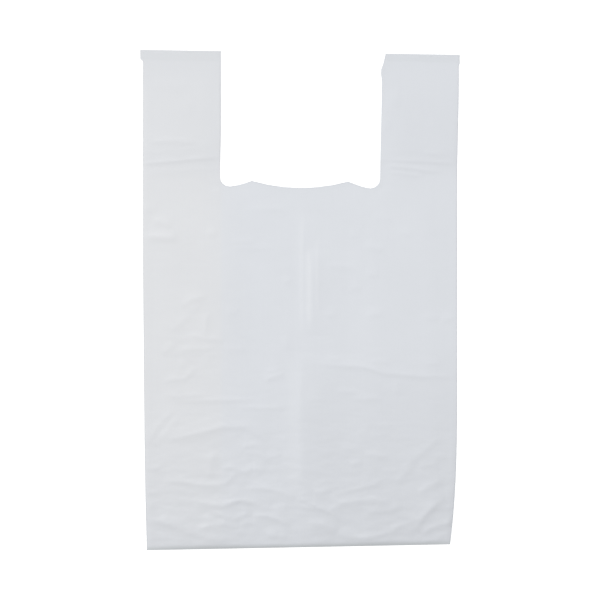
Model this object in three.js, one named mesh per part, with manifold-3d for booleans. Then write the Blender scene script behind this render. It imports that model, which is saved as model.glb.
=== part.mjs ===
// A vest-type plastic carrier bag, lying flat on a table the way it comes out of its pack.
// It is one piece of blown film: a tube with a pleat (the gusset) pressed into each side, welded
// shut across the bottom and across the top of each handle, with the mouth punched through every layer.
// Millimetres. X runs across the bag, Y up its length to the handles and Z up from the table.
// The origin is on the table, under the middle of the bag's outline.
import * as THREE from 'three';
import { mergeVertices } from 'three/addons/utils/BufferGeometryUtils.js';
import Module from 'manifold-3d';

const { smoothstep, clamp, lerp } = THREE.MathUtils;

// The bag as it is made
const BAG_WIDTH = 300;
const BAG_LENGTH = 478;
const GUSSET_DEPTH = 75;
const FILM = 0.02;
const BOTTOM_WELD = 5;
const HANDLE_WELD = 8.5;

// The punched mouth: straight sides, round corners against tearing, and a lip with two points.
// One handle has the inner corner of its top trimmed off.
const HANDLE_WIDTH = 73.5;
const MOUTH_DEPTH = 131;
const CORNER_RADIUS = 9.5;
const CORNER_RUNOUT = 8.5;
const LIP_POINT_RISE = 6.5;
const LIP_POINT_SPAN = 92;
const TRIM_WIDTH = 3.5;
const TRIM_LENGTH = 15;
const PUNCH_HEIGHT = 40;

// The air between the layers: open in the body, pressed out at the welds and in part along the side folds
const AIR = 0.25;
const PRESSED_AIR = 0.005;
const FOLD_AIR_SHARE = 0.6;
const FOLD_EASE = 30;
const BOTTOM_EASE = 10;
const HANDLE_EASE = 40;
const GUSSET_EASE = 34;

// The slack of the front panel: it lofts towards the middle, and its creases die out at the side folds
const LOFT = 0.8;
const LOFT_EASE = 90;
const CREASE_EASE = 6;

// How the bag lies: its right side is drawn up at both ends, its sides draw in towards the bottom weld,
// the left handle's weld is splayed and the right handle leans out
const BOTTOM_RISE = 5.6;
const HANDLE_DROP = 4.8;
const LEFT_TAPER = 2.4;
const TAPER_REACH = 265;
const LEFT_DRAW = 1.4;
const RIGHT_DRAW = 6.7;
const DRAW_REACH = 155;
const WELD_SPLAY = 2.6;
const SPLAY_EASE = 2.5;
const RIGHT_LEAN = 1.7;
const LEAN_REACH = 110;

// Creases of the front panel: ridges along bent lines. X is from the bag's middle, Y from its bottom edge.
const CREASES = [
  // across the feet of the handles
  { line: [[-150, 369], [-115, 372], [-77, 376]], height: 0.6, width: 6 },
  { line: [[-149, 361], [-115, 363], [-78, 364]], height: 0.4, width: 6 },
  { line: [[79, 374], [124, 372], [150, 370]], height: 0.6, width: 6 },
  { line: [[82, 368], [103, 366], [134, 362]], height: 0.5, width: 6 },
  // the packing fold, down the middle
  { line: [[2, 206], [2, 319]], height: 0.4, width: 9 },
  { line: [[11, 205], [11, 287]], height: 0.5, width: 9 },
  { line: [[1, 43], [3, 189]], height: 0.9, width: 10 },
  // the crumpled left side
  { line: [[-148, 300], [-117, 298]], height: 0.5, width: 9 },
  { line: [[-113, 233], [-89, 243]], height: 0.5, width: 8 },
  { line: [[-127, 211], [-103, 224]], height: 0.45, width: 8 },
  { line: [[-103, 204], [-72, 200]], height: 0.45, width: 6 },
  { line: [[-132, 160], [-110, 164], [-100, 176]], height: 0.6, width: 6 },
  { line: [[-111, 143], [-41, 144]], height: 0.4, width: 6 },
  { line: [[-59, 137], [-14, 136]], height: 0.4, width: 6 },
  { line: [[-34, 161], [-15, 169]], height: 0.5, width: 6 },
  { line: [[-146, 101], [-134, 120], [-120, 135]], height: 0.5, width: 6 },
  // the right side
  { line: [[17, 177], [62, 174], [80, 168], [150, 164]], height: 0.7, width: 7 },
  { line: [[97, 73], [115, 89], [134, 105]], height: 0.6, width: 7 },
  // above the bottom weld, from left to right
  { line: [[-128, 105], [-91, 113], [-52, 117], [-30, 103]], height: 1.0, width: 8 },
  { line: [[-75, 79], [-51, 74], [-44, 80]], height: 0.6, width: 6 },
  { line: [[-128, 61], [-110, 65], [-67, 64]], height: 0.7, width: 6 },
  { line: [[-51, 58], [-19, 54], [-4, 48]], height: 0.7, width: 6 },
  { line: [[-100, 46], [-57, 47], [-29, 38]], height: 1.0, width: 7 },
  { line: [[-145, 31], [-116, 22], [-76, 11]], height: 0.9, width: 8 },
  { line: [[-97, 19], [-72, 24], [-59, 20]], height: 0.7, width: 6 },
  { line: [[-42, 30], [-9, 21]], height: 0.8, width: 6 },
  { line: [[-3, 48], [38, 28]], height: 0.8, width: 6 },
  { line: [[8, 23], [36, 16]], height: 0.8, width: 7 },
  { line: [[27, 35], [55, 45], [86, 42]], height: 0.8, width: 7 },
  { line: [[31, 50], [80, 64]], height: 0.5, width: 6 },
  { line: [[62, 33], [98, 38]], height: 0.6, width: 6 },
  { line: [[38, 12], [86, 15]], height: 0.7, width: 6 },
  { line: [[111, 13], [120, 27], [137, 47]], height: 1.2, width: 8 },
  { line: [[116, 11], [148, 22]], height: 0.7, width: 6 },
];

// The grid that carries the creases: columns across the front panel, and rows along the length that
// are closer where it is crumpled, in the lower part and at the feet of the handles
const FRONT_COLUMNS = 26;
const CRUMPLED = 205;
const CRUMPLED_ROWS = 38;
const SMOOTH_ROWS = 14;
const HANDLE_FOOT = 50;
const FOOT_ROWS = 8;
const HANDLE_ROWS = 5;
const FOLD_SEGMENTS = 1;
const PUNCH_SEGMENTS = 10;

const HALF_WIDTH = BAG_WIDTH / 2;
const HALF_MOUTH = HALF_WIDTH - HANDLE_WIDTH;
const MOUTH_FLOOR = BAG_LENGTH - MOUTH_DEPTH;
const PLEAT_END = HALF_WIDTH - GUSSET_DEPTH;
const LAYERS = 4;
const LAYER_PITCH = FILM + AIR;
const STACK = LAYERS * FILM + (LAYERS - 1) * AIR;
const FOLD_RADIUS = FILM + AIR / 2;

// 1 where the film lies loose, falling to 0 at the bottom weld and at the handle welds.
function looseness(y) {
  const fromBottom = smoothstep(y, BOTTOM_WELD, BOTTOM_WELD + BOTTOM_EASE);
  const fromTop = smoothstep(BAG_LENGTH - y, HANDLE_WELD, HANDLE_WELD + HANDLE_EASE);
  return fromBottom * fromTop;
}

// One gusset of the tube's section, traced up the right side (1) or down the left side (-1):
// a fold at the side, the pleat's fold inside the bag, and a second fold at the side.
function traceGusset(path, side, inset) {
  const sideFold = side * (HALF_WIDTH - FOLD_RADIUS);
  const pleatFold = side * (PLEAT_END + FOLD_RADIUS);
  const folds = [
    { x: sideFold, z: FOLD_RADIUS, radius: FOLD_RADIUS - inset, clockwise: false },
    { x: pleatFold, z: STACK / 2, radius: AIR / 2 + inset, clockwise: true },
    { x: sideFold, z: STACK - FOLD_RADIUS, radius: FOLD_RADIUS - inset, clockwise: false },
  ];
  const start = (-side * Math.PI) / 2;
  for (const { x, z, radius, clockwise } of side > 0 ? folds : folds.reverse()) {
    path.lineTo(x, z - side * radius);
    path.absarc(x, z, radius, start, -start, clockwise);
  }
}

// The section's closed outline, on the outside of the film or inset by its thickness:
// back panel, right gusset, front panel in columns, left gusset.
function sectionOutline(inset) {
  const reach = HALF_WIDTH - FOLD_RADIUS;
  const outline = new THREE.Shape();
  outline.moveTo(-reach, inset);
  traceGusset(outline, 1, inset);
  for (let column = 1; column < FRONT_COLUMNS; column++) {
    outline.lineTo(lerp(reach, -reach, column / FRONT_COLUMNS), STACK - inset);
  }
  traceGusset(outline, -1, inset);
  outline.closePath();
  return outline;
}

// Heights of the film's rows, from the handle tops down to the bottom edge.
function filmRows() {
  const handleWeldEnd = BAG_LENGTH - HANDLE_WELD;
  const footEnd = MOUTH_FLOOR + HANDLE_FOOT;
  const spans = [
    { from: BAG_LENGTH, to: handleWeldEnd, rows: 1 },
    { from: handleWeldEnd, to: handleWeldEnd - SPLAY_EASE, rows: 1 },
    { from: handleWeldEnd - SPLAY_EASE, to: footEnd, rows: HANDLE_ROWS },
    { from: footEnd, to: MOUTH_FLOOR, rows: FOOT_ROWS },
    { from: MOUTH_FLOOR, to: CRUMPLED, rows: SMOOTH_ROWS },
    { from: CRUMPLED, to: BOTTOM_WELD, rows: CRUMPLED_ROWS },
    { from: BOTTOM_WELD, to: 0, rows: 1 },
  ];
  const heights = [BAG_LENGTH];
  for (const { from, to, rows } of spans) {
    for (let row = 1; row <= rows; row++) heights.push(lerp(from, to, row / rows));
  }
  return heights;
}

// Height of a crease at a point: a ridge along a bent line that dies away to the sides and at both ends.
function creaseHeight({ line, height, width }, x, y) {
  const place = new THREE.Vector2(x, y);
  const corners = line.map((corner) => new THREE.Vector2(...corner));
  const steps = corners.slice(1).map((corner, i) => corner.clone().sub(corners[i]));
  const length = steps.reduce((sum, step) => sum + step.length(), 0);
  let nearest = Infinity;
  let along = 0;
  let before = 0;
  steps.forEach((step, i) => {
    const offset = place.clone().sub(corners[i]);
    const share = clamp(offset.dot(step) / step.lengthSq(), 0, 1);
    const distance = offset.distanceTo(step.clone().multiplyScalar(share));
    if (distance < nearest) {
      nearest = distance;
      along = (before + share * step.length()) / length;
    }
    before += step.length();
  });
  const taper = 1 - (2 * along - 1) ** 4;
  return height * taper * Math.exp(-((nearest / width) ** 2));
}

// How far the slack of the front panel stands above the layers under it.
function frontSlack(x, y) {
  const fromSide = HALF_WIDTH - Math.abs(x);
  const creases = CREASES.reduce((sum, crease) => sum + creaseHeight(crease, x, y), 0);
  return LOFT * smoothstep(fromSide, 0, LOFT_EASE) + creases * smoothstep(fromSide, 0, CREASE_EASE);
}

// Settles a point of the tube: air is pressed out towards the welds and the side folds, and the front
// panel comes down between the gussets and is lifted by its slack.
function settle(point) {
  const loose = looseness(point.y);
  const fromFold = smoothstep(HALF_WIDTH - Math.abs(point.x), 0, FOLD_EASE);
  const air = lerp(PRESSED_AIR, AIR, loose * lerp(FOLD_AIR_SHARE, 1, fromFold));
  const layer = Math.floor(point.z / LAYER_PITCH);
  const inLayer = point.z - layer * LAYER_PITCH;
  const airShare = Math.max(inLayer - FILM, 0) / AIR;
  const frontShare = clamp((point.z - (STACK - LAYER_PITCH)) / AIR, 0, 1);
  const betweenPleats = 1 - smoothstep(Math.abs(point.x), PLEAT_END - GUSSET_EASE, PLEAT_END);
  const drop = (LAYERS - 2) * (FILM + air) * betweenPleats;
  point.z = layer * (FILM + air) + Math.min(inLayer, FILM) + airShare * air;
  point.z += frontShare * loose * (frontSlack(point.x, point.y) - drop);
}

// Moves a point of the straight, square bag to where it comes to lie.
function lay(point) {
  const across = point.x / BAG_WIDTH + 0.5;
  const tapered = clamp(1 - point.y / TAPER_REACH, 0, 1);
  const drawn = clamp(1 - point.y / DRAW_REACH, 0, 1) ** 3;
  const leftIn = LEFT_TAPER * tapered + LEFT_DRAW * drawn;
  const rightIn = RIGHT_DRAW * drawn;
  const leaning = smoothstep(point.y, MOUTH_FLOOR, MOUTH_FLOOR + LEAN_REACH);
  const inWeld = smoothstep(point.y, BAG_LENGTH - HANDLE_WELD - SPLAY_EASE, BAG_LENGTH - HANDLE_WELD);
  const leftHandle = clamp((-HALF_MOUTH - point.x) / HANDLE_WIDTH, 0, 1);
  const rightHandle = point.x > 0 ? 1 : 0;
  point.x += lerp(leftIn, -rightIn, across);
  point.x += RIGHT_LEAN * leaning * rightHandle - WELD_SPLAY * inWeld * leftHandle;
  point.y += across * lerp(BOTTOM_RISE, -HANDLE_DROP, point.y / BAG_LENGTH);
}

function movePoints(geometry, move) {
  const position = geometry.getAttribute('position');
  const point = new THREE.Vector3();
  for (let i = 0; i < position.count; i++) {
    move(point.fromBufferAttribute(position, i));
    position.setXYZ(i, point.x, point.y, point.z);
  }
  return geometry;
}

// A body as long as the bag with the section's outline, on the outside of the film or inset from it.
function sectionBody(inset) {
  const rows = filmRows();
  const steps = rows.length - 1;
  const options = { depth: steps, steps, curveSegments: FOLD_SEGMENTS, bevelEnabled: false };
  const body = new THREE.ExtrudeGeometry(sectionOutline(inset), options).rotateX(Math.PI / 2);
  return movePoints(body, (point) => {
    point.y = rows[Math.round(-point.y)];
    settle(point);
  });
}

// A weld: the layers of film fused into one strip right across the tube.
function weldStrip(from, to) {
  const thickness = LAYERS * FILM + (LAYERS - 1) * PRESSED_AIR;
  const strip = new THREE.BoxGeometry(BAG_WIDTH - 2 * FOLD_RADIUS, to - from, thickness - FILM);
  return strip.translate(0, (from + to) / 2, thickness / 2);
}

// The punch that cuts the mouth out through every layer.
function mouthPunch() {
  const top = BAG_LENGTH + CORNER_RADIUS;
  const cornerHeight = MOUTH_FLOOR + CORNER_RADIUS;
  const cornerEnd = HALF_MOUTH - CORNER_RADIUS;
  const runout = cornerEnd - CORNER_RUNOUT;
  const lipPoint = LIP_POINT_SPAN / 2;
  const lipHeight = MOUTH_FLOOR + LIP_POINT_RISE;
  const outline = new THREE.Shape();
  outline.moveTo(-HALF_MOUTH, top);
  outline.lineTo(-HALF_MOUTH, cornerHeight);
  outline.absarc(-cornerEnd, cornerHeight, CORNER_RADIUS, Math.PI, 1.5 * Math.PI);
  outline.quadraticCurveTo(-runout, MOUTH_FLOOR, -lipPoint, lipHeight);
  outline.quadraticCurveTo(0, MOUTH_FLOOR - LIP_POINT_RISE, lipPoint, lipHeight);
  outline.quadraticCurveTo(runout, MOUTH_FLOOR, cornerEnd, MOUTH_FLOOR);
  outline.absarc(cornerEnd, cornerHeight, CORNER_RADIUS, 1.5 * Math.PI, 2 * Math.PI);
  outline.lineTo(HALF_MOUTH, BAG_LENGTH - TRIM_LENGTH);
  outline.lineTo(HALF_MOUTH + TRIM_WIDTH, BAG_LENGTH);
  outline.lineTo(HALF_MOUTH + TRIM_WIDTH, top);
  const options = { depth: PUNCH_HEIGHT, curveSegments: PUNCH_SEGMENTS, bevelEnabled: false };
  return new THREE.ExtrudeGeometry(outline, options).translate(0, 0, -PUNCH_HEIGHT / 2);
}

const wasm = await Module();
wasm.setup();

function toSolid(geometry) {
  geometry.deleteAttribute('normal');
  geometry.deleteAttribute('uv');
  const merged = mergeVertices(geometry);
  const vertProperties = merged.getAttribute('position').array;
  const triVerts = new Uint32Array(merged.index.array);
  return new wasm.Manifold(new wasm.Mesh({ numProp: 3, vertProperties, triVerts }));
}

function toGeometry(solid) {
  const { vertProperties, triVerts } = solid.getMesh();
  const geometry = new THREE.BufferGeometry();
  geometry.setAttribute('position', new THREE.BufferAttribute(vertProperties, 3));
  geometry.setIndex(new THREE.BufferAttribute(triVerts, 1));
  return geometry;
}

// The gusseted tube of film, open at both ends: the outer body with the inner one taken out of it.
function filmTube() {
  return toSolid(sectionBody(0)).subtract(toSolid(sectionBody(FILM)));
}

// The finished bag: the tube welded at both ends, the mouth punched out, then laid on the table.
function carrierBag() {
  const solid = filmTube()
    .add(toSolid(weldStrip(0, BOTTOM_WELD)))
    .add(toSolid(weldStrip(BAG_LENGTH - HANDLE_WELD, BAG_LENGTH)))
    .subtract(toSolid(mouthPunch()));
  const geometry = movePoints(toGeometry(solid), lay);
  geometry.computeBoundingBox();
  const { min, max } = geometry.boundingBox;
  geometry.translate(-(min.x + max.x) / 2, -(min.y + max.y) / 2, -min.z);
  geometry.computeVertexNormals();
  const film = new THREE.MeshStandardMaterial({ color: 0xdddfe3, roughness: 0.42, metalness: 0 });
  const bag = new THREE.Mesh(geometry, film);
  bag.name = 'carrier_bag';
  return bag;
}

const group = new THREE.Group();
group.add(carrierBag());

export default group;
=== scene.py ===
"""A plain white vest carrier bag lying flat on a white table, seen from straight above. Metres, +Z up."""
import math

import bmesh
import bpy
import numpy as np
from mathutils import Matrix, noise


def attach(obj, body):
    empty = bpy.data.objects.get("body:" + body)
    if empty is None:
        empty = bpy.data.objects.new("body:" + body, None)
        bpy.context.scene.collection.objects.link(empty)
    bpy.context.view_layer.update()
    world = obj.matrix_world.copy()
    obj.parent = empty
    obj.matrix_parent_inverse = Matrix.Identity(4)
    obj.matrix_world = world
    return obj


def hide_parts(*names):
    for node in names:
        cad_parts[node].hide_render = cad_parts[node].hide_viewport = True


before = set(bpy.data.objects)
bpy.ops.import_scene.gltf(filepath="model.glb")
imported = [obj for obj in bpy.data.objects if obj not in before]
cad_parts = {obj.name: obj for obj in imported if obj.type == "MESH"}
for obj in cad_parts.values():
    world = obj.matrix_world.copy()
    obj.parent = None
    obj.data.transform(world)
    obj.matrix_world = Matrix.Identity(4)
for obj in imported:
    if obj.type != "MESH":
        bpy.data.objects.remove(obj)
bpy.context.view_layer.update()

# The film tube
# The bag is one length of blown polyethylene film, drawn off the line as a tube and pressed flat with
# a pleat in each side. Here its section is folded up first and then swept along the bag's length.
MM = 0.001
BAG_WIDTH = 300 * MM
BAG_LENGTH = 478 * MM
GUSSET_DEPTH = 75 * MM
FILM = 0.02 * MM
HALF_WIDTH = BAG_WIDTH / 2
PLEAT_END = HALF_WIDTH - GUSSET_DEPTH
FOLD_REACH = 0.15 * MM
FRONT_CUTS = 71
BACK_CUTS = 1
LEAF_CUTS = 1

# Layers of the folded film, from the back panel up.
BACK, LOWER_LEAF, UPPER_LEAF, FRONT = range(4)


def folded_section(columns):
    """The tube's section, one unit of Z to a layer, with each fold halfway between two layers."""
    side, pleat = HALF_WIDTH - FOLD_REACH, PLEAT_END + FOLD_REACH
    right_half = [(0, BACK), (side, BACK), (HALF_WIDTH, (BACK + LOWER_LEAF) / 2),
                  (side, LOWER_LEAF), (pleat, LOWER_LEAF), (PLEAT_END, (LOWER_LEAF + UPPER_LEAF) / 2),
                  (pleat, UPPER_LEAF), (side, UPPER_LEAF), (HALF_WIDTH, (UPPER_LEAF + FRONT) / 2),
                  (side, FRONT), (0, FRONT)]
    bm = bmesh.new()
    points = [bm.verts.new((x, 0, z)) for x, z in right_half]
    back, _, _, lower_leaf, _, _, upper_leaf, _, _, front = [
        bm.edges.new(pair) for pair in zip(points, points[1:])]
    for edges, cuts in (([back], BACK_CUTS), ([lower_leaf, upper_leaf], LEAF_CUTS), ([front], FRONT_CUTS)):
        bmesh.ops.subdivide_edges(bm, edges=edges, cuts=cuts)
    for x in columns:
        bmesh.ops.bisect_plane(bm, geom=bm.verts[:] + bm.edges[:], dist=FOLD_REACH,
                               plane_co=(x, 0, 0), plane_no=(1, 0, 0))
    bmesh.ops.mirror(bm, geom=bm.verts[:] + bm.edges[:], axis="X", merge_dist=FILM)
    return bm


# The punched mouth
# A die cuts the mouth through every layer at once, leaving the two handles. Its corners are round so that
# they don't tear, the left one a little higher, and its lip dips between two points.
HANDLE_WIDTH = 73.5 * MM
MOUTH_DEPTH = 131 * MM
CORNER_RADIUS = 9.5 * MM
CORNER_RUNOUT = 5 * MM
CORNER_STEPS = 4
RUNOUT_STEPS = 3
LEFT_CORNER_RISE = 1.0 * MM
LEFT_RISE_REACH = 21 * MM
LIP_POINT_RISE = 6.5 * MM
LIP_POINT = 46 * MM
LIP_STEPS = 3
CUT_RIM = 1.5 * MM
HALF_MOUTH = HALF_WIDTH - HANDLE_WIDTH
CORNER_END = HALF_MOUTH - CORNER_RADIUS
MOUTH_FLOOR = BAG_LENGTH - MOUTH_DEPTH


def smoothstep(low, high, value):
    """0 up to the low value, 1 from the high one, and a smooth rise between them."""
    share = np.clip((value - low) / (high - low), 0, 1)
    return share * share * (3 - 2 * share)


def lip_height(x):
    """Height of the mouth's edge above its lowest line: dip, point, runout and round corner."""
    left_rise = LEFT_CORNER_RISE * (1 - smoothstep(0, LEFT_RISE_REACH, np.abs(x + CORNER_END)))
    x = np.abs(x)
    dip = LIP_POINT_RISE * (x / LIP_POINT) ** 2
    # The runout is a quadratic Bezier curve. It leaves the corner level, with a handle CORNER_RUNOUT long.
    bend = CORNER_END - 2 * (CORNER_END - CORNER_RUNOUT) + LIP_POINT
    reach = np.clip(CORNER_END - x, 0, None)
    along = (np.sqrt(CORNER_RUNOUT ** 2 - bend * reach) - CORNER_RUNOUT) / -bend
    runout = LIP_POINT_RISE * along ** 2
    corner_x = np.clip(x - CORNER_END, 0, CORNER_RADIUS)
    corner = CORNER_RADIUS - np.sqrt(CORNER_RADIUS ** 2 - corner_x ** 2)
    return np.where(x < LIP_POINT, dip, np.where(x < CORNER_END, runout, corner)) + left_rise


def mouth_columns():
    """Columns of the film that the mouth needs, for its dip, runouts, round corners and side rims."""
    turns = [math.radians(90 * step / CORNER_STEPS) for step in range(CORNER_STEPS + 1)]
    corners = [CORNER_END + CORNER_RADIUS * math.sin(turn) for turn in turns]
    lip = [LIP_POINT * step / LIP_STEPS for step in range(1, LIP_STEPS + 1)]
    runout = [LIP_POINT + (CORNER_END - LIP_POINT) * step / RUNOUT_STEPS for step in range(1, RUNOUT_STEPS)]
    return lip + runout + corners + [HALF_MOUTH + CUT_RIM]


# The welds and the rows
# Hot bars fuse all the layers across the bottom and across each handle's top. The film's rows are
# closest in the lower half, where it is crumpled, and at the welds and the cut edge.
BOTTOM_WELD = 5 * MM
HANDLE_WELD = 8.5 * MM
SPLAY_EASE = 2.5 * MM
CRUMPLED = 205 * MM
WELD_ROWS = 4
CRUMPLED_ROWS = 126
SMOOTH_ROWS = 64
HANDLE_FOOT = 50 * MM
FOOT_ROWS = 32
HANDLE_ROWS = 16
RIM_ROWS = 1
SPLAY_ROWS = 2
LIP_EASE = 45 * MM


def film_rows():
    """Heights of the film's rows, from the bottom edge to the handle tops."""
    weld_end = BAG_LENGTH - HANDLE_WELD
    rim = MOUTH_FLOOR - CUT_RIM
    spans = [(0, BOTTOM_WELD, WELD_ROWS), (BOTTOM_WELD, CRUMPLED, CRUMPLED_ROWS),
             (CRUMPLED, rim, SMOOTH_ROWS), (rim, MOUTH_FLOOR, RIM_ROWS),
             (MOUTH_FLOOR, MOUTH_FLOOR + HANDLE_FOOT, FOOT_ROWS),
             (MOUTH_FLOOR + HANDLE_FOOT, weld_end - SPLAY_EASE, HANDLE_ROWS),
             (weld_end - SPLAY_EASE, weld_end, SPLAY_ROWS),
             (weld_end, BAG_LENGTH, WELD_ROWS)]
    inner = [np.linspace(low, high, rows, endpoint=False) for low, high, rows in spans]
    return np.concatenate(inner + [[BAG_LENGTH]])


bm = folded_section(mouth_columns())
rows = film_rows()
mouth_row = WELD_ROWS + CRUMPLED_ROWS + SMOOTH_ROWS + RIM_ROWS
bmesh.ops.spin(bm, geom=bm.verts[:] + bm.edges[:], axis=(0, 0, 1), cent=(0, 0, 0), dvec=(0, 1, 0),
               angle=0, steps=len(rows) - 1)
punched = []
for face in bm.faces:
    middle = face.calc_center_median()
    if middle.y > mouth_row and abs(middle.x) < HALF_MOUTH:
        punched.append(face)
bmesh.ops.delete(bm, geom=punched, context="FACES")
bmesh.ops.recalc_face_normals(bm, faces=bm.faces[:])

# Both leaves of a pleat are split along the same diagonals, so that they don't pass through each other.
upper_leaves = [face for face in bm.faces if round(face.calc_center_median().z, 1) == UPPER_LEAF]
bmesh.ops.triangulate(bm, faces=upper_leaves, quad_method="ALTERNATE")
bag_mesh = bpy.data.meshes.new("carrier_bag_film")
bm.to_mesh(bag_mesh)
bm.free()
points = np.empty(len(bag_mesh.vertices) * 3)
bag_mesh.vertices.foreach_get("co", points)
x, row, layer = points.reshape(-1, 3).T
y = rows[np.rint(row).astype(int)]
to_lip = smoothstep(-LIP_EASE, 0, y - MOUTH_FLOOR)
past_lip = smoothstep(-LIP_EASE, 0, MOUTH_FLOOR - y)
y = y + lip_height(x) * to_lip * past_lip

# How the bag lies
# Its plies have slipped: the front's side folds stand back from the back's, and the front's cut edge
# from the back's. The bag lies out of square with its handles' welds splayed. The right handle leans out,
# and its inner top corner is trimmed off, with a bulge below the trim.
LEFT_SET_BACK = 0.5 * MM
RIGHT_SET_BACK = 0.6 * MM
SET_BACK_WANDER = 0.5
SET_BACK_PITCH = 90 * MM
LIP_SET_BACK = 0.6 * MM
LIP_SLIP_REACH = 30 * MM
HANDLE_SLIP = 1.0 * MM
HANDLE_SLIP_START = 10 * MM
HANDLE_SLIP_REACH = 60 * MM
BOTTOM_RISE = 5.6 * MM
HANDLE_DROP = 4.8 * MM
LEFT_TAPER = 2.4 * MM
TAPER_REACH = 265 * MM
LEFT_DRAW = 1.4 * MM
RIGHT_DRAW = 6.7 * MM
DRAW_REACH = 155 * MM
DRAW_POWER = 3
LEFT_SPLAY = 2.6 * MM
RIGHT_SPLAY = 0.8 * MM
RIGHT_LEAN = 1.7 * MM
LEAN_REACH = 110 * MM
TRIM_WIDTH = 3.5 * MM
TRIM_LENGTH = 17 * MM
TRIM_EASE = 20 * MM
TRIM_BULGE = 1.05 * MM
TRIM_BULGE_REACH = 6 * MM

from_bottom = y
from_top = BAG_LENGTH - y
from_side = HALF_WIDTH - np.abs(x)
across = x / BAG_WIDTH + 0.5
up_handle = y - MOUTH_FLOOR
upper_plies = np.clip(layer - LOWER_LEAF, 0, 1)
front = np.clip(layer - UPPER_LEAF, 0, 1)
in_pleat = smoothstep(PLEAT_END, HALF_WIDTH, np.abs(x))
across_handle = np.clip(from_side / HANDLE_WIDTH, 0, 1)
wander = np.array([noise.noise((v / SET_BACK_PITCH, u, 0)) for u, v in zip(np.sign(x), y)])
set_back = np.where(x < 0, LEFT_SET_BACK, RIGHT_SET_BACK) * (1 + SET_BACK_WANDER * wander) * in_pleat
slip = HANDLE_SLIP * smoothstep(HANDLE_SLIP_START, HANDLE_SLIP_REACH, up_handle) * across_handle
slip = np.where(x < -HALF_MOUTH + FILM, slip, 0)
near_lip = 1 - smoothstep(0, LIP_SLIP_REACH, np.abs(up_handle))
ply_x = x - upper_plies * np.sign(x) * set_back + (1 - upper_plies) * slip
ply_y = y - front * LIP_SET_BACK * near_lip * (1 - in_pleat)

tapered = np.clip(1 - y / TAPER_REACH, 0, 1)
drawn = np.clip(1 - y / DRAW_REACH, 0, 1) ** DRAW_POWER
left_in = LEFT_TAPER * tapered + LEFT_DRAW * drawn
right_in = RIGHT_DRAW * drawn
in_handle_weld = smoothstep(-HANDLE_WELD - SPLAY_EASE, -HANDLE_WELD, -from_top)
by_trim = np.clip(1 - (x - HALF_MOUTH) / TRIM_EASE, 0, 1)
trimmed = np.clip(1 - from_top / TRIM_LENGTH, 0, 1) * by_trim
bulge = np.exp(-((from_top - TRIM_LENGTH) / TRIM_BULGE_REACH) ** 2) * by_trim
splay = np.where(x < 0, -LEFT_SPLAY, RIGHT_SPLAY) * in_handle_weld * (1 - across_handle)
lean = RIGHT_LEAN * smoothstep(0, LEAN_REACH, up_handle) + TRIM_WIDTH * trimmed - TRIM_BULGE * bulge
laid_x = ply_x + left_in - (left_in + right_in) * across + splay + np.where(x > 0, lean, 0)
laid_y = ply_y + across * (BOTTOM_RISE - (BOTTOM_RISE + HANDLE_DROP) * y / BAG_LENGTH)
laid_x = laid_x - (laid_x.min() + laid_x.max()) / 2
laid_y = laid_y - (laid_y.min() + laid_y.max()) / 2

# The creases of the front
# Crisp film keeps the creases of its packing and handling: ridges that stand up from the layers under
# them, each along a bent line, steep on one side. The pack's lengthwise fold runs down the middle.
CREST_RADIUS = 0.7 * MM
END_POWER = 4

# Millimetres from the bag's middle: height, reach to the left of the line and to its right, the line.
# A line runs from left to right or from the bottom up.
HANDLE_CREASES = [
    (0.36, 34, 14, [(-150, 141), (-115, 144), (-77, 148)]),
    (0.36, 4, 1.3, [(-151, 130), (-115, 133), (-75, 137)]),
    (0.22, 6, 7, [(-151, 123), (-115, 124), (-75, 125)]),
    (0.29, 4, 3, [(-147, 151), (-120, 152), (-96, 150)]),
    (0.17, 3, 3, [(-143, 205), (-103, 205)]),
    (0.17, 4, 2, [(-122, 183), (-111, 179), (-101, 185)]),
    (0.22, 3, 3, [(-88, 220), (-80, 221)]),
    (0.46, 34, 12, [(76, 144), (124, 142), (153, 141)]),
    (0.36, 3.5, 1.5, [(76, 134), (96, 133), (124, 132), (153, 130)]),
    (0.52, 3, 1.8, [(82, 128), (103, 126), (134, 122)]),
    (0.30, 2.5, 2, [(84, 121.5), (96, 121), (117, 118)]),
    (0.36, 5, 2, [(82, 211), (97, 210)]),
    (0.22, 3, 1.8, [(99, 207), (124, 208), (145, 206)]),
    (0.22, 4, 3, [(118, 217), (126, 219), (132, 224)]),
    (0.22, 3, 2, [(82, 191), (97, 190)]),
    (0.17, 3, 2, [(81, 182), (94, 181)]),
    (0.22, 3, 2, [(79, 167), (87, 168)]),
    (0.17, 3, 2, [(124, 168), (135, 169)]),
    (0.22, 2.5, 2, [(118, 140), (139, 139)]),
]
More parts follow.
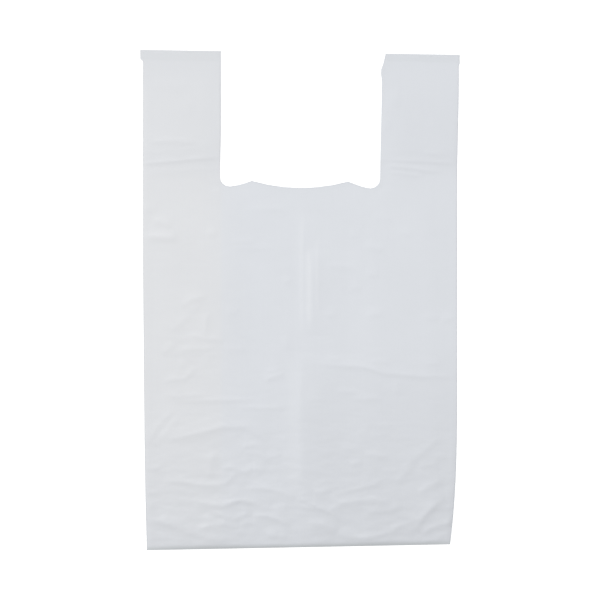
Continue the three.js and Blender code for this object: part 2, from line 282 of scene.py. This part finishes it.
UPPER_CREASES = [
    (0.43, 3, 2, [(-141, 76), (-132, 74), (-123, 70)]),
    (0.58, 4, 3, [(-148, 61), (-134, 60), (-117, 59)]),
    (0.26, 3, 2, [(-150, 87), (-137, 87)]),
    (0.26, 3, 2, [(-89, 63), (-79, 64)]),
    (0.21, 3, 1.8, [(-66, 56), (-41, 56)]),
    (0.21, 3, 2, [(-65, 49), (-24, 50)]),
    (0.26, 3, 2, [(-51, 86), (-17, 87), (-11, 81)]),
    (0.30, 3, 2, [(63, 53), (71, 50), (80, 47)]),
    (0.26, 3, 2, [(71, 79), (80, 78), (87, 75)]),
    (0.26, 3, 2, [(95, 63), (107, 64)]),
    (0.21, 3, 2, [(48, 61), (57, 64)]),
    (0.26, 3, 2, [(26, 33), (43, 32), (55, 30)]),
    (0.26, 3, 2, [(63, 25), (75, 24)]),
    (0.26, 3, 2, [(48, 12), (59, 12)]),
    (0.33, 3, 2, [(24, -14), (35, -14)]),
    (0.33, 3, 2, [(63, -15), (72, -14), (80, -12)]),
    (0.26, 3, 2, [(118, -17), (134, -17)]),
    (0.43, 3, 2, [(135, -20), (148, -16)]),
    (0.26, 3, 2, [(-15, 15), (-9, 21)]),
    (0.26, 3, 2, [(-71, -13), (-58, -10)]),
]
LEFT_CRUMPLES = [
    (0.42, 3, 2.5, [(-113, -6), (-105, 0), (-89, 4)]),
    (0.24, 3, 2, [(-107, -11), (-96, -7)]),
    (0.36, 3, 2, [(-127, -28), (-117, -26), (-112, -19), (-103, -15)]),
    (0.36, 3, 2, [(-91, -35), (-90, -25), (-88, -12)]),
    (0.36, 3, 2, [(-103, -33), (-91, -37), (-72, -38)]),
    (0.30, 3, 2, [(-132, -50), (-126, -48), (-121, -41)]),
    (0.26, 3, 2, [(-118, -48), (-100, -47), (-80, -46)]),
    (0.24, 3, 2, [(-113, -71), (-113, -57)]),
    (0.48, 3.5, 2, [(-132, -79), (-122, -76), (-110, -75), (-104, -70), (-100, -63)]),
    (0.36, 3, 2, [(-130, -91), (-115, -92), (-89, -90)]),
    (0.30, 4, 3, [(-74, -47), (-52, -47)]),
    (0.42, 3.5, 1.8, [(-111, -96), (-72, -96), (-41, -95)]),
    (0.42, 3, 1.8, [(-59, -102), (-40, -103), (-14, -103)]),
    (0.48, 3, 2.2, [(-34, -78), (-27, -74), (-15, -70)]),
    (0.24, 3, 2, [(-32, -68), (-21, -68)]),
    (0.30, 3, 2, [(-12, -48), (-14, -34)]),
]
PACKING_FOLD = [
    (0.39, 2, 10, [(2, -33), (1.5, 80)]),
    (0.70, 3.5, 16, [(11, -34), (11, 48)]),
    (0.23, 1.8, 8, [(17, -11), (16.5, 57)]),
    (0.93, 8, 26, [(1, -196), (2, -153), (0, -115), (3, -50)]),
]
RIGHT_CREASES = [
    (0.68, 5, 2.2, [(17, -61), (43, -63), (62, -64), (80, -70), (115, -73), (150, -73)]),
    (0.30, 3, 2, [(67, -59), (86, -59)]),
    (0.22, 3, 2, [(25, -56), (40, -56)]),
    (0.38, 3, 3, [(36, -86), (50, -88), (53, -84)]),
    (0.30, 3, 3, [(92, -91), (94, -76)]),
    (0.30, 3, 1.8, [(6, -95), (25, -95)]),
    (0.30, 3, 1.8, [(48, -95), (80, -94)]),
    (0.30, 3, 2, [(118, -61), (134, -60)]),
    (0.30, 3, 2, [(74, -120), (88, -119)]),
    (0.30, 3, 2, [(55, -128), (67, -124)]),
    (0.30, 3, 3, [(38, -142), (59, -141)]),
    (0.45, 4, 2.5, [(63, -148), (84, -149)]),
    (0.45, 3, 2.5, [(48, -157), (60, -154)]),
    (0.30, 3, 2, [(63, -166), (73, -164)]),
    (0.30, 3, 3, [(36, -173), (57, -173)]),
    (0.45, 3, 3, [(13, -183), (28, -183)]),
    (0.68, 6, 4, [(97, -163), (105, -155), (115, -147), (124, -139), (134, -131)]),
    (0.52, 3, 4, [(113, -159), (132, -156)]),
    (0.52, 3, 2.5, [(92, -174), (99, -166), (109, -158)]),
    (0.68, 3, 3, [(113, -184), (124, -178), (135, -172)]),
    (0.38, 3, 3, [(128, -148), (139, -148)]),
]
LOWER_LEFT_CREASES = [
    (0.36, 3, 1.8, [(-146, -138), (-134, -119), (-120, -104)]),
    (0.30, 1.8, 4, [(-139, -139), (-127, -125), (-114, -108)]),
    (1.05, 9, 4.5, [(-128, -134), (-110, -130), (-91, -126), (-74, -121), (-52, -121), (-30, -135)]),
    (0.52, 3, 3, [(-57, -145), (-51, -139), (-42, -138), (-33, -145)]),
    (0.60, 5, 3.5, [(-86, -170), (-85, -153), (-80, -145)]),
    (0.68, 3, 2.2, [(-75, -160), (-65, -160), (-57, -163), (-51, -165), (-44, -159)]),
    (0.45, 2.5, 2.5, [(-72, -176), (-65, -169), (-60, -164)]),
    (0.60, 4, 2.5, [(-54, -146), (-40, -147), (-31, -151), (-18, -147)]),
    (0.45, 6, 4, [(-45, -161), (-34, -162)]),
    (0.45, 3, 3, [(-143, -162), (-132, -158)]),
    (0.75, 4, 2.5, [(-128, -178), (-122, -173), (-110, -174), (-98, -176), (-84, -177), (-67, -175)]),
    (0.75, 3.5, 2.2, [(-51, -179), (-36, -180), (-19, -183), (-4, -189)]),
    (1.15, 7, 3, [(-100, -192), (-86, -195), (-74, -196), (-57, -191), (-43, -194), (-29, -200)]),
    (1.10, 3, 1.8, [(-44, -206), (-31, -206), (-19, -210), (-9, -217)]),
    (0.75, 3, 3, [(-88, -200), (-74, -206), (-63, -209), (-53, -205), (-47, -202)]),
    (0.83, 5, 2.2, [(-97, -219), (-86, -215), (-72, -214), (-59, -218)]),
    (0.95, 9, 3.5, [(-142, -209), (-126, -214), (-114, -219), (-103, -223), (-90, -227), (-68, -231)]),
    (0.38, 3, 3, [(-146, -197), (-136, -199)]),
    (0.45, 3, 2, [(-91, -226), (-74, -226), (-61, -229)]),
    (0.52, 3, 2, [(-57, -213), (-40, -213)]),
    (0.40, 3, 2.5, [(-62, -222), (-40, -222)]),
    (0.34, 3, 2, [(-34, -224), (-21, -223)]),
    (0.52, 2.5, 2, [(-32, -226), (-11, -225)]),
    (0.52, 4, 3, [(-23, -202), (-12, -199)]),
]
LOWER_RIGHT_CREASES = [
    (1.02, 4, 2.2, [(-3, -188), (9, -194), (22, -200), (38, -208)]),
    (0.51, 2, 2, [(-1, -196), (14, -200)]),
    (1.02, 5, 5, [(8, -213), (21, -214), (36, -220)]),
    (0.94, 3.5, 6, [(27, -201), (41, -194), (55, -191), (71, -189), (86, -194)]),
    (0.59, 2.5, 3, [(31, -186), (50, -181), (65, -178), (80, -172)]),
    (0.85, 6, 2.5, [(62, -202), (79, -202), (90, -200), (98, -197)]),
    (1.50, 8, 3, [(109, -220), (114, -213), (119, -206), (125, -199), (131, -194), (139, -190)]),
    (0.60, 3, 6, [(86, -218), (97, -215), (106, -212), (114, -207)]),
    (1.02, 3, 3, [(116, -225), (124, -218), (132, -215), (148, -212)]),
    (0.59, 3, 2, [(118, -230), (130, -230), (136, -223)]),
    (1.02, 4, 3, [(34, -225), (57, -227), (74, -225), (88, -221), (98, -214)]),
]
CREASES = (HANDLE_CREASES + UPPER_CREASES + LEFT_CRUMPLES + PACKING_FOLD + RIGHT_CREASES
           + LOWER_LEFT_CREASES + LOWER_RIGHT_CREASES)

# Facets between the creases, in millimetres: pitch across and up, height in the smooth upper part and in the
# crumpled lower part, seed of their pattern. Their edges are bent by a noise that needs a seed of its own.
FACETS = [((30, 10), 0.08, 0.54, 0.37), ((13, 6), 0.06, 0.37, 5.11), ((8, 4), 0.05, 0.20, 2.63)]
FACET_BEND = 0.5
BEND_SEED = 4

# Heights on the bag, in millimetres, where the crumpling starts and where it is full.
CRUMPLE_START = -60
CRUMPLE_END = -230

# A crumpled patch on the left, in millimetres: middle, reach and pitch across and up, height and seed.
LEFT_CENTRE = (-105, -45)
LEFT_REACH = (48, 62)
LEFT_PITCH = (13, 9)
LEFT_FACET_HEIGHT = 0.3
LEFT_SEED = 9.73


def crease_relief(place, height, left, right, line):
    """Height of one crease: a crest along a bent line, falling away to each side and at its ends."""
    line = np.array(line) * MM
    steps = np.diff(line, axis=0)
    lengths = np.linalg.norm(steps, axis=1)
    starts = np.concatenate([[0], np.cumsum(lengths)])
    nearest = np.full(len(place), np.inf)
    reach = np.full(len(place), right * MM)
    along = np.zeros(len(place))
    for start, step, length, before in zip(line, steps, lengths, starts):
        offset = place - start
        share = np.clip(offset @ step / length ** 2, 0, 1)
        distance = np.linalg.norm(offset - share[:, None] * step, axis=1)
        on_left = step[0] * offset[:, 1] - step[1] * offset[:, 0] > 0
        closer = distance < nearest
        nearest = np.where(closer, distance, nearest)
        reach = np.where(closer, np.where(on_left, left, right) * MM, reach)
        along = np.where(closer, (before + share * length) / starts[-1], along)
    taper = 1 - (2 * along - 1) ** END_POWER
    fall = np.hypot(nearest, CREST_RADIUS) - CREST_RADIUS
    return height * MM * taper * np.exp(-fall / reach)


def facets(place, pitch, seed):
    """Facets between sharp ridges, as crumpled film has: the distance to the nearest of random points."""
    heights = []
    for u, v in place / (np.array(pitch) * MM):
        bend = noise.noise_vector((u, v, seed)) * FACET_BEND
        heights.append(noise.voronoi((u + bend.x, v + bend.y, seed))[0][0])
    return np.array(heights)


def around(place, centre, reach):
    """1 at a place on the bag, falling to 0 at its reach across and up."""
    away = np.linalg.norm((place - np.array(centre) * MM) / (np.array(reach) * MM), axis=1)
    return 1 - smoothstep(0, 1, away)


noise.seed_set(BEND_SEED)
place = np.stack([laid_x, laid_y], axis=1)
is_front = front > 0
spot = place[is_front]
relief = sum(crease_relief(spot, *crease) for crease in CREASES)
crumpled = 1 - smoothstep(CRUMPLE_END * MM, CRUMPLE_START * MM, spot[:, 1])
for pitch, smooth_height, crumpled_height, seed in FACETS:
    relief += (smooth_height + (crumpled_height - smooth_height) * crumpled) * MM * facets(spot, pitch, seed)
relief += LEFT_FACET_HEIGHT * MM * around(spot, LEFT_CENTRE, LEFT_REACH) * facets(spot, LEFT_PITCH, LEFT_SEED)
creased = np.zeros(len(x))
creased[is_front] = relief

# Slack and air
# The front is slack film over the pressed layers. It lies close at the sides and lofts a little in the
# middle, and more over the pocket of air that the crumpled lower half holds.
AIR = 0.25 * MM
PRESSED_AIR = 0.012 * MM
HANDLE_AIR_SHARE = 0.25
FOLD_AIR_SHARE = 0.1
FOLD_EASE = 30 * MM
CUT_EASE = 18 * MM
BOTTOM_EASE = 6 * MM
HANDLE_EASE = 40 * MM
GUSSET_EASE = 34 * MM
MOUTH_EASE = 90 * MM
LOFT = 0.5 * MM
HANDLE_LOFT_SHARE = 0.2
LOFT_EASE = 90 * MM
POCKET_LOFT = 0.5 * MM
POCKET_TOP = -45 * MM
POCKET_FILLED = -113 * MM
CREASE_EASE = 3 * MM
PLEAT_LEAVES = 2

loft = LOFT * (HANDLE_LOFT_SHARE + (1 - HANDLE_LOFT_SHARE) * smoothstep(0, MOUTH_EASE, -up_handle))
loft = loft + POCKET_LOFT * (1 - smoothstep(POCKET_FILLED, POCKET_TOP, laid_y))
slack = creased * smoothstep(0, CREASE_EASE, from_side) + loft * smoothstep(0, LOFT_EASE, from_side)
off_weld = np.clip(from_bottom / BOTTOM_EASE, 0, 1)
loose = (1 - (1 - off_weld) ** 2) * smoothstep(HANDLE_WELD, HANDLE_WELD + HANDLE_EASE, from_top)
from_lip = np.where(np.abs(x) < HALF_MOUTH, lip_height(x) - up_handle, BAG_LENGTH)
from_cut = np.where(up_handle > 0, np.abs(x) - HALF_MOUTH, from_lip)
from_edge = np.minimum(smoothstep(0, FOLD_EASE, from_side), smoothstep(0, CUT_EASE, from_cut))
open_air = FOLD_AIR_SHARE + (1 - FOLD_AIR_SHARE) * from_edge
open_air = open_air * (1 - (1 - HANDLE_AIR_SHARE) * smoothstep(-MOUTH_EASE, 0, up_handle))
air = PRESSED_AIR + (AIR - PRESSED_AIR) * loose * open_air
between_pleats = 1 - smoothstep(PLEAT_END - GUSSET_EASE, PLEAT_END, np.abs(x))
z = FILM / 2 + layer * (FILM + air)
z = z + front * loose * (slack - PLEAT_LEAVES * (FILM + air) * between_pleats)
bag_mesh.vertices.foreach_set("co", np.stack([laid_x, laid_y, z], axis=1).ravel())
bag_mesh.polygons.foreach_set("use_smooth", [True] * len(bag_mesh.polygons))
bag_mesh.update()

bag = bpy.data.objects.new("carrier_bag_film", bag_mesh)
bpy.context.scene.collection.objects.link(bag)
gauge = bag.modifiers.new("gauge", "SOLIDIFY")
gauge.thickness = FILM
gauge.offset = 0
flat_to_edge = bag.modifiers.new("flat_to_edge", "WEIGHTED_NORMAL")
flat_to_edge.mode = "FACE_AREA"

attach(bag, "root")
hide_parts("carrier_bag")

# The film's finish
# Milky white polyethylene with a satin skin. It is densest where the left pleat lies close behind it. Painted
# shade greys it towards the bottom, more on the lower right, across the handles and towards the top left.
# Painted highlights run along the lit side of the packing fold's ridges. The welds are greyest where they
# have fused it, and the bottom weld also carries painted shade along the bottom edge.
MILKY_BLUE = (0.708, 0.731, 0.770)
DENSE_WARM = (0.724, 0.736, 0.757)
PAINTED_SHADE_GREY = (0.640, 0.660, 0.696)
PAINTED_HIGHLIGHT = (0.790, 0.805, 0.830)
WELD_AND_SHADE_GREY = (0.555, 0.580, 0.600)
HANDLE_FUSED = 0.14
RIGHT_WELD = 6.4 * MM
RIM_DARKENING = 0.08
POCKET_END = -239 * MM
POCKET_SHADE = 0.33
BOTTOM_SHADE = 0.42
RIGHT_SHADE = 0.27
RIGHT_START = -10 * MM
RIGHT_END = 25 * MM
RIGHT_TOP = -25 * MM
RIGHT_FULL = -105 * MM
HANDLE_SHADE = 0.2
FOOT_SHADE = 0.16
FOOT_CREASE = 133 * MM
FOOT_SPREAD = 12 * MM
TOP_LEFT_SHADE = 0.22
TOP_REACH = 40 * MM
DENSE_START = 105 * MM
DENSE_END = 40 * MM
PLEAT_BLUR = 3 * MM
LINE_FADE = 12
NOISE_MIDDLE = 0.5
CLOUD_SCALE = 22.0
CLOUD_DETAIL = 3.0
CLOUD_SHADE = 0.03
DIE_LINE_SCALE = (700.0, 5.0, 700.0)
DIE_LINE_DETAIL = 2.0
DIE_LINE_SHADE = 0.012
DIE_LINE_BUMP = 0.3
CRINKLE_SCALE = (110.0, 260.0, 200.0)
CRINKLE_DETAIL = 3.0
CRINKLE_BUMP = 0.6
BUMP_IN_SHADE = 1.6
BUMP_STRENGTH = 0.3
BUMP_DEPTH = 0.09 * MM
SATIN = 0.36
CLOUD_ROUGHNESS = 0.14
FILM_IOR = 1.5

# The place of the colour among a Mix node's results, which are one for each kind of data.
MIXED_COLOUR = 2

# Painted highlights on the lit side of the packing fold's ridges, in millimetres: strength, half width, place
# across, bottom and top.
FOLD_HIGHLIGHTS = [(0.25, 1.3, 1.4, -33, 80), (0.32, 2.6, 8.1, -20, 50), (0.15, 1.2, 16.2, -11, 57),
               (0.08, 6.0, -5.7, -190, -58)]


def film_attribute(name, values):
    """Keeps a number for each point of the film, for its material."""
    attribute = bag_mesh.attributes.new(name, "FLOAT", "POINT")
    attribute.data.foreach_set("value", values.astype(np.float32))


class Signal:
    """A value in a shader's node tree. Arithmetic on it adds Math nodes to the tree."""

    def __init__(self, tree, socket=None):
        self.tree = tree
        self.socket = socket

    def node(self, kind, settings=None, sockets=None, output=0):
        """Adds a node: its settings first, then the values or links of its sockets."""
        made = self.tree.nodes.new(kind)
        for name, value in (settings or {}).items():
            setattr(made, name, value)
        for name, value in (sockets or {}).items():
            self.feed(next(socket for socket in made.inputs if socket.enabled and socket.name == name), value)
        return Signal(self.tree, made.outputs[output]) if made.outputs else None

    def feed(self, socket, value):
        if isinstance(value, Signal):
            self.tree.links.new(value.socket, socket)
        else:
            socket.default_value = value

    def math(self, operation, first, second):
        made = self.tree.nodes.new("ShaderNodeMath")
        made.operation = operation
        self.feed(made.inputs[0], first)
        self.feed(made.inputs[1], second)
        return Signal(self.tree, made.outputs[0])

    def __add__(self, other):
        return self.math("ADD", self, other)

    __radd__ = __add__

    def __sub__(self, other):
        return self.math("SUBTRACT", self, other)

    def __mul__(self, other):
        return self.math("MULTIPLY", self, other)

    __rmul__ = __mul__


def blank_shader(data):
    """Empties the node tree of a material or a world, and gives a signal to build it from."""
    data.use_nodes = True
    data.node_tree.nodes.clear()
    return Signal(data.node_tree)


def mix(shader, factor, first, second):
    """A colour between two, of which the first may be a signal."""
    first = first if isinstance(first, Signal) else (*first, 1)
    sockets = {"Factor": factor, "A": first, "B": (*second, 1)}
    return shader.node("ShaderNodeMix", {"data_type": "RGBA"}, sockets, output=MIXED_COLOUR)


# The welds' grey: faint across the handle tops and full across the bottom weld, where it is partly the fused
# film and partly painted shade along the bottom edge. A faint darker line runs along the cut edges.
weld_height = np.where(x < 0, HANDLE_WELD, RIGHT_WELD)
at_top = HANDLE_FUSED * (1 - smoothstep(weld_height, weld_height + SPLAY_EASE, from_top))
at_weld = np.maximum(1 - smoothstep(0, BOTTOM_WELD, from_bottom), at_top)
at_lip = np.exp(-np.abs(up_handle - lip_height(x)) / CUT_RIM) * (np.abs(x) < HALF_MOUTH + FILM)
at_handle = np.exp(-np.abs(np.abs(x) - HALF_MOUTH) / CUT_RIM) * (up_handle > 0)
film_attribute("fused_and_shaded", np.maximum(at_weld, RIM_DARKENING * np.maximum(at_lip, at_handle)))

# Painted shade: darker towards the bottom and more on the lower right, across the handles with a band along
# their feet, and towards the top left.
down_the_bag = np.clip((POCKET_TOP - laid_y) / (POCKET_TOP - POCKET_END), 0, 1)
lower_right = smoothstep(RIGHT_START, RIGHT_END, laid_x) * (1 - smoothstep(RIGHT_FULL, RIGHT_TOP, laid_y))
pocket_shade = POCKET_SHADE * down_the_bag + BOTTOM_SHADE * down_the_bag ** 2 + RIGHT_SHADE * lower_right
near_top = 1 - smoothstep(HANDLE_WELD, HANDLE_WELD + TOP_REACH, from_top)
at_foot = np.exp(-((laid_y - FOOT_CREASE) / FOOT_SPREAD) ** 2)
handle_shade = HANDLE_SHADE * smoothstep(0, HANDLE_FOOT, up_handle) + FOOT_SHADE * at_foot
film_attribute("painted_shade", np.clip(pocket_shade + handle_shade + TOP_LEFT_SHADE * (1 - across) * near_top, 0, 1))

gathered = 1 - smoothstep(-DENSE_START, -DENSE_END, laid_x)
over_pleat = 1 - smoothstep(-PLEAT_END - PLEAT_BLUR, -PLEAT_END + PLEAT_BLUR, laid_x)
film_attribute("dense", (gathered + over_pleat) / 2)

# Painted highlights along the lit side of the packing fold's ridges.
white = np.zeros(len(x))
for strength, half_width, across_at, bottom, top in FOLD_HIGHLIGHTS:
    begun = smoothstep(bottom - LINE_FADE, bottom + LINE_FADE, laid_y / MM)
    ended = smoothstep(top - LINE_FADE, top + LINE_FADE, laid_y / MM)
    aside = (laid_x / MM - across_at) / half_width
    white = np.maximum(white, strength * begun * (1 - ended) * np.exp(-aside ** 2))
film_attribute("painted_highlight", np.where(is_front, white, 0))

film = bpy.data.materials.new("milky_film")
shader = blank_shader(film)
where = shader.node("ShaderNodeTexCoord", output="Object")
fused_and_shaded, painted_shade, dense, painted_highlight = (
    shader.node("ShaderNodeAttribute", {"attribute_name": name}, output="Fac")
    for name in ("fused_and_shaded", "painted_shade", "dense", "painted_highlight"))
cloud = shader.node("ShaderNodeTexNoise", None, {
    "Vector": where, "Scale": CLOUD_SCALE, "Detail": CLOUD_DETAIL})
lengthwise = shader.node("ShaderNodeMapping", None, {"Vector": where, "Scale": DIE_LINE_SCALE})
die_lines = shader.node("ShaderNodeTexNoise", None, {
    "Vector": lengthwise, "Scale": 1.0, "Detail": DIE_LINE_DETAIL})
crosswise = shader.node("ShaderNodeMapping", None, {"Vector": where, "Scale": CRINKLE_SCALE})
crinkle = shader.node("ShaderNodeTexNoise", None, {
    "Vector": crosswise, "Scale": 1.0, "Detail": CRINKLE_DETAIL})
body = mix(shader, dense, MILKY_BLUE, DENSE_WARM)
# Painted shade.
shaded_film = mix(shader, painted_shade, body, PAINTED_SHADE_GREY)
# Painted highlights along the packing fold.
highlighted = mix(shader, painted_highlight, shaded_film, PAINTED_HIGHLIGHT)
# The welds' grey, with painted shade along the bottom edge.
welded_and_shaded = mix(shader, fused_and_shaded, highlighted, WELD_AND_SHADE_GREY)
shade = 1 + (cloud - NOISE_MIDDLE) * CLOUD_SHADE + (die_lines - NOISE_MIDDLE) * DIE_LINE_SHADE
colour = shader.node("ShaderNodeVectorMath", {"operation": "SCALE"}, {"Vector": welded_and_shaded, "Scale": shade})
bump = shader.node("ShaderNodeBump", None, {
    "Height": crinkle * (CRINKLE_BUMP + BUMP_IN_SHADE * painted_shade) + die_lines * DIE_LINE_BUMP,
    "Strength": BUMP_STRENGTH, "Distance": BUMP_DEPTH})
skin = shader.node("ShaderNodeBsdfPrincipled", None, {
    "Base Color": colour, "Roughness": SATIN + cloud * CLOUD_ROUGHNESS, "Normal": bump, "IOR": FILM_IOR})
shader.node("ShaderNodeOutputMaterial", None, {"Surface": skin})
bag_mesh.materials.append(film)

# The table
# A plain white sheet of card under the bag. It glows a little where it is seen directly, so that it shows
# as white and still takes the bag's shadow.
FLOOR_SIZE = 6.0
FLOOR_GAP = 2 * FILM
CARD = (0.85, 0.85, 0.85, 1)
CARD_GLOW = 0.35


def seen_directly(shader):
    """1 where the camera, a reflection or a clear body looks at the surface, 0 for the light it throws."""
    camera, glossy, clear = (shader.node("ShaderNodeLightPath", output=name) for name in
                             ("Is Camera Ray", "Is Glossy Ray", "Is Transmission Ray"))
    return shader.math("MAXIMUM", camera, shader.math("MAXIMUM", glossy, clear))


bm = bmesh.new()
bmesh.ops.create_grid(bm, x_segments=1, y_segments=1, size=FLOOR_SIZE / 2)
bmesh.ops.translate(bm, verts=bm.verts[:], vec=(0, 0, -FLOOR_GAP))
floor_mesh = bpy.data.meshes.new("floor")
bm.to_mesh(floor_mesh)
bm.free()
floor = bpy.data.objects.new("floor", floor_mesh)
bpy.context.scene.collection.objects.link(floor)
card = bpy.data.materials.new("white_card")
shader = blank_shader(card)
matt = shader.node("ShaderNodeBsdfPrincipled", None, {
    "Base Color": CARD, "Roughness": 1.0, "Specular IOR Level": 0.0,
    "Emission Color": seen_directly(shader) * CARD_GLOW, "Emission Strength": 1.0})
shader.node("ShaderNodeOutputMaterial", None, {"Surface": matt})
floor_mesh.materials.append(card)

# The light
# A large soft box high up and off to the upper left, with an even surround. The surround shows as white
# but throws about half that light.
SURROUND = 0.55
LAMP_PLACE = (-4.32, 5.18, 9.98)
LAMP_SIZE = 4.2
LAMP_POWER = 767
world = bpy.data.worlds.new("surround")
bpy.context.scene.world = world
shader = blank_shader(world)
even = shader.node("ShaderNodeBackground", None, {
    "Color": (1, 1, 1, 1), "Strength": SURROUND + seen_directly(shader) * (1 - SURROUND)})
shader.node("ShaderNodeOutputWorld", None, {"Surface": even})
lamp = bpy.data.lights.new("soft_box", "AREA")
lamp.shape = "SQUARE"
lamp.size = LAMP_SIZE
lamp.energy = LAMP_POWER
soft_box = bpy.data.objects.new("soft_box", lamp)
soft_box.location = LAMP_PLACE
soft_box.rotation_euler = (-soft_box.location).to_track_quat("-Z", "Y").to_euler()
bpy.context.scene.collection.objects.link(soft_box)

# The camera
# Straight above the bag with a long lens, with the handles to the top of the frame.
FRAME_WIDTH = 573.2 * MM
LENS = 100
camera_data = bpy.data.cameras.new("camera")
camera_data.lens = LENS
camera = bpy.data.objects.new("camera", camera_data)
camera.location = (0, 0, FRAME_WIDTH * camera_data.lens / camera_data.sensor_width)
bpy.context.scene.collection.objects.link(camera)
bpy.context.scene.camera = camera
bpy.context.scene.view_settings.view_transform = "Standard"
